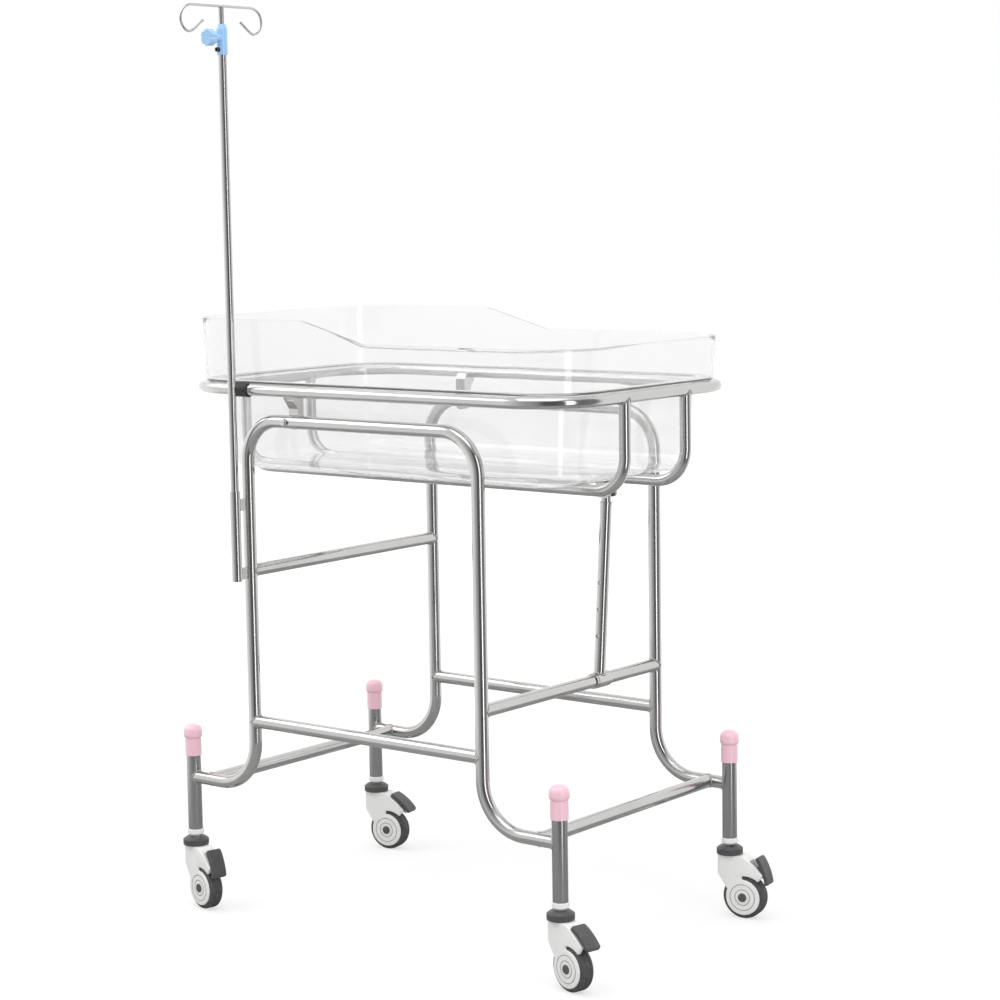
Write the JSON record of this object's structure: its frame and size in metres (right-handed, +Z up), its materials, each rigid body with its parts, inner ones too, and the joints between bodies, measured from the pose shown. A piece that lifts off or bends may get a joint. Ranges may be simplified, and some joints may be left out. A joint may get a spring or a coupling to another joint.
{
  "type": "hospital bassinet",
  "caption": "Hospital bassinet: clear lift-out tub on a tilting steel cradle, tube frame on braked swivel casters, drip pole with sliding hooks.",
  "frame": {"origin": "floor level, under the centre of the whole object's bounding box", "axes": "+X towards the foot end, +Y towards the back side, away from the drip pole, +Z up"},
  "size_m": [0.9058, 0.6528, 1.5517],
  "materials": {
    "polished_steel": "polished stainless tube",
    "plated_fasteners": "bright plated",
    "dark_screw": "blackened steel",
    "blue_plastic": "moulded, semi-gloss",
    "pink_caps": "soft moulded, satin",
    "white_nylon": "moulded, satin",
    "grey_plastic": "moulded, satin",
    "grey_tread": "matt tread rubber",
    "black_rubber": "matt",
    "clear_acrylic": "clear, glossy"
  },
  "bodies": {
    "root": {"side_frame_front": "polished_steel", "side_frame_back": "polished_steel", "side_bar_front": "polished_steel", "side_bar_back": "polished_steel", "head_bar_upper": "polished_steel", "head_bar_lower": "polished_steel", "foot_bar_lower": "polished_steel", "prop_bar": "polished_steel", "pivot_bolts": "plated_fasteners", "pole_socket": "polished_steel", "pole_tube": "polished_steel", "pole_clamp": "blue_plastic", "clamp_screw": "dark_screw", "bumper_caps": "pink_caps", "caster_bushes": "white_nylon", "caster_stems": "plated_fasteners", "post_head_front": "polished_steel", "post_head_back": "polished_steel", "post_foot_front": "polished_steel", "post_foot_back": "polished_steel"},
    "cradle": {"top_ring": "polished_steel", "runner_front": "polished_steel", "runner_back": "polished_steel", "pivot_lugs": "polished_steel", "pivot_washers": "white_nylon", "prop_lug": "polished_steel", "ring_buffer": "black_rubber"},
    "tub": {"tub": "clear_acrylic"},
    "prop_sleeve": {"prop_outer": "polished_steel"},
    "prop_stem": {"prop_inner": "polished_steel", "prop_pin": "plated_fasteners", "prop_spring": "plated_fasteners"},
    "button": {"prop_button": "plated_fasteners"},
    "pole_top": {"pole_rod": "polished_steel", "pole_hooks": "polished_steel"},
    "knob": {"clamp_knob": "blue_plastic"},
    "fork_head_front": {"swivel_disc_head_front": "grey_plastic", "caster_housing_head_front": "white_nylon", "caster_pins_head_front": "grey_plastic"},
    "wheel_head_front": {"wheel_hub_head_front": "white_nylon", "tyre_head_front": "grey_tread"},
    "pedal_head_front": {"brake_pedal_head_front": "grey_plastic"},
    "fork_head_back": {"swivel_disc_head_back": "grey_plastic", "caster_housing_head_back": "white_nylon", "caster_pins_head_back": "grey_plastic"},
    "wheel_head_back": {"wheel_hub_head_back": "white_nylon", "tyre_head_back": "grey_tread"},
    "pedal_head_back": {"brake_pedal_head_back": "grey_plastic"},
    "fork_foot_front": {"swivel_disc_foot_front": "grey_plastic", "caster_housing_foot_front": "white_nylon", "caster_pins_foot_front": "grey_plastic"},
    "wheel_foot_front": {"wheel_hub_foot_front": "white_nylon", "tyre_foot_front": "grey_tread"},
    "pedal_foot_front": {"brake_pedal_foot_front": "grey_plastic"},
    "fork_foot_back": {"swivel_disc_foot_back": "grey_plastic", "caster_housing_foot_back": "white_nylon", "caster_pins_foot_back": "grey_plastic"},
    "wheel_foot_back": {"wheel_hub_foot_back": "white_nylon", "tyre_foot_back": "grey_tread"},
    "pedal_foot_back": {"brake_pedal_foot_back": "grey_plastic"}
  },
  "joints": [
    {"name": "cradle_tilt", "type": "hinge", "parent": "root", "child": "cradle", "pos_m": [-0.18137, 0.05812, 0.865], "axis": [0, -1, 0], "range_deg": [0, 12]},
    {"name": "prop_swing", "type": "hinge", "parent": "root", "child": "prop_sleeve", "pos_m": [0.22063, 0.13412, 0.4215], "axis": [0, 1, 0], "range_deg": [0, 1.77]},
    {"name": "prop_slide", "type": "slide", "parent": "prop_sleeve", "child": "prop_stem", "axis": [0.0588, 0, 0.9983], "range_m": [0, 0.09114]},
    {"name": "button_travel", "type": "slide", "parent": "prop_stem", "child": "button", "axis": [0, -1, 0], "range_m": [0, 0.0032], "stiffness_N_per_m": 200, "springref_m": 0.0032},
    {"name": "tub_lift", "type": "slide", "parent": "cradle", "child": "tub", "axis": [0, 0, 1], "range_m": [0, 0.3]},
    {"name": "pole_height", "type": "slide", "parent": "root", "child": "pole_top", "axis": [0, 0, 1], "range_m": [-0.024, 0.3]},
    {"name": "knob_turn", "type": "hinge", "parent": "root", "child": "knob", "pos_m": [-0.27737, -0.24718, 1.498], "axis": [0, -1, 0], "range_deg": [0, 270]},
    {"name": "swivel_head_front", "type": "hinge", "parent": "root", "child": "fork_head_front", "pos_m": [-0.42937, -0.18338, 0.116], "axis": [0, 0, 1], "continuous": true},
    {"name": "roll_head_front", "type": "hinge", "parent": "fork_head_front", "child": "wheel_head_front", "pos_m": [-0.40112, -0.18991, 0.0375], "axis": [0.225, 0.9744, 0], "continuous": true},
    {"name": "brake_head_front", "type": "hinge", "parent": "fork_head_front", "child": "pedal_head_front", "pos_m": [-0.38066, -0.19463, 0.08], "axis": [0.225, 0.9744, 0], "range_deg": [-31, 0]},
    {"name": "swivel_head_back", "type": "hinge", "parent": "root", "child": "fork_head_back", "pos_m": [-0.42937, 0.29962, 0.116], "axis": [0, 0, 1], "continuous": true},
    {"name": "roll_head_back", "type": "hinge", "parent": "fork_head_back", "child": "wheel_head_back", "pos_m": [-0.40081, 0.30465, 0.0375], "axis": [-0.1736, 0.9848, 0], "continuous": true},
    {"name": "brake_head_back", "type": "hinge", "parent": "fork_head_back", "child": "pedal_head_back", "pos_m": [-0.38013, 0.3083, 0.08], "axis": [-0.1736, 0.9848, 0], "range_deg": [0, 31]},
    {"name": "swivel_foot_front", "type": "hinge", "parent": "root", "child": "fork_foot_front", "pos_m": [0.37263, -0.18338, 0.116], "axis": [0, 0, 1], "continuous": true},
    {"name": "roll_foot_front", "type": "hinge", "parent": "fork_foot_front", "child": "wheel_foot_front", "pos_m": [0.40088, -0.18991, 0.0375], "axis": [0.225, 0.9744, 0], "continuous": true},
    {"name": "brake_foot_front", "type": "hinge", "parent": "fork_foot_front", "child": "pedal_foot_front", "pos_m": [0.42135, -0.19463, 0.08], "axis": [0.225, 0.9744, 0], "range_deg": [0, 31]},
    {"name": "swivel_foot_back", "type": "hinge", "parent": "root", "child": "fork_foot_back", "pos_m": [0.37263, 0.29962, 0.116], "axis": [0, 0, 1], "continuous": true},
    {"name": "roll_foot_back", "type": "hinge", "parent": "fork_foot_back", "child": "wheel_foot_back", "pos_m": [0.40119, 0.30465, 0.0375], "axis": [-0.1736, 0.9848, 0], "continuous": true},
    {"name": "brake_foot_back", "type": "hinge", "parent": "fork_foot_back", "child": "pedal_foot_back", "pos_m": [0.42187, 0.3083, 0.08], "axis": [-0.1736, 0.9848, 0], "range_deg": [-31, 0]}
  ],
  "couplings": [
    {"joint": "prop_swing", "follows": "cradle_tilt", "ratio": 0.147},
    {"joint": "prop_slide", "follows": "cradle_tilt", "m_per_rad": 0.43494}
  ]
}
